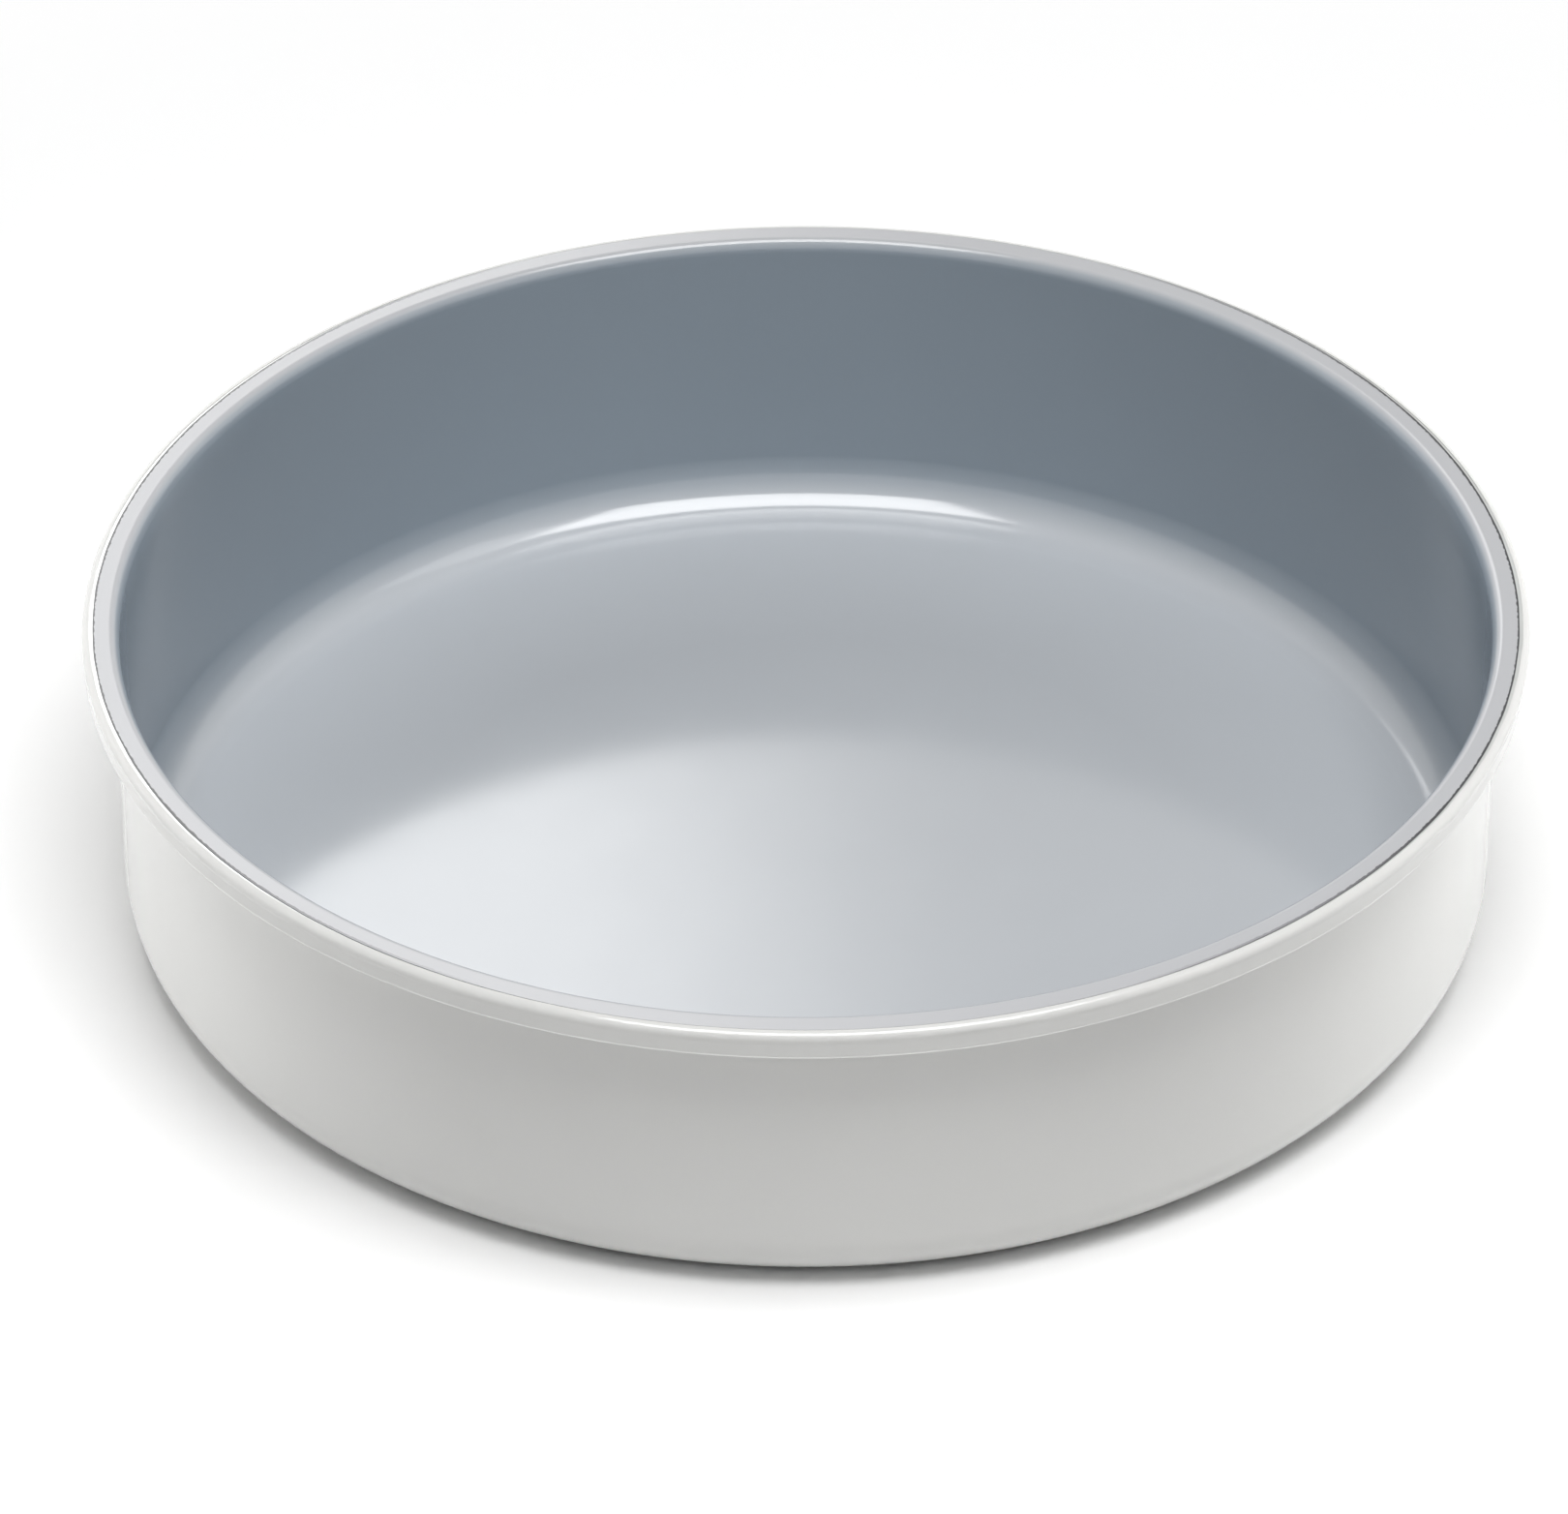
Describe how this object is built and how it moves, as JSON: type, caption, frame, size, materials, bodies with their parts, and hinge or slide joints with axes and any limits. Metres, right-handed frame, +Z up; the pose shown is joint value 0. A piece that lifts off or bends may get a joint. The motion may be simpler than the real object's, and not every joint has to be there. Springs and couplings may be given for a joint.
{
  "type": "round cake pan",
  "caption": "Round straight-sided cake pan of coated sheet steel, with a flat floor, a rounded inside corner and a flat rim folded over a wire.",
  "frame": {"origin": "centre of the flat underside that the pan stands on", "axes": "+Z up out of the mouth, along the pan's axis; X and Y are any two level directions at right angles, since the pan is round"},
  "size_m": [0.241, 0.241, 0.055],
  "materials": {
    "bare_steel": "satin",
    "wire": "satin",
    "inner_ceramic": "satin",
    "outer_enamel": "satin"
  },
  "bodies": {
    "root": {"steel_shell": "bare_steel", "rim_wire": "wire", "inner_coating": "inner_ceramic", "outer_coating": "outer_enamel"}
  },
  "joints": []
}
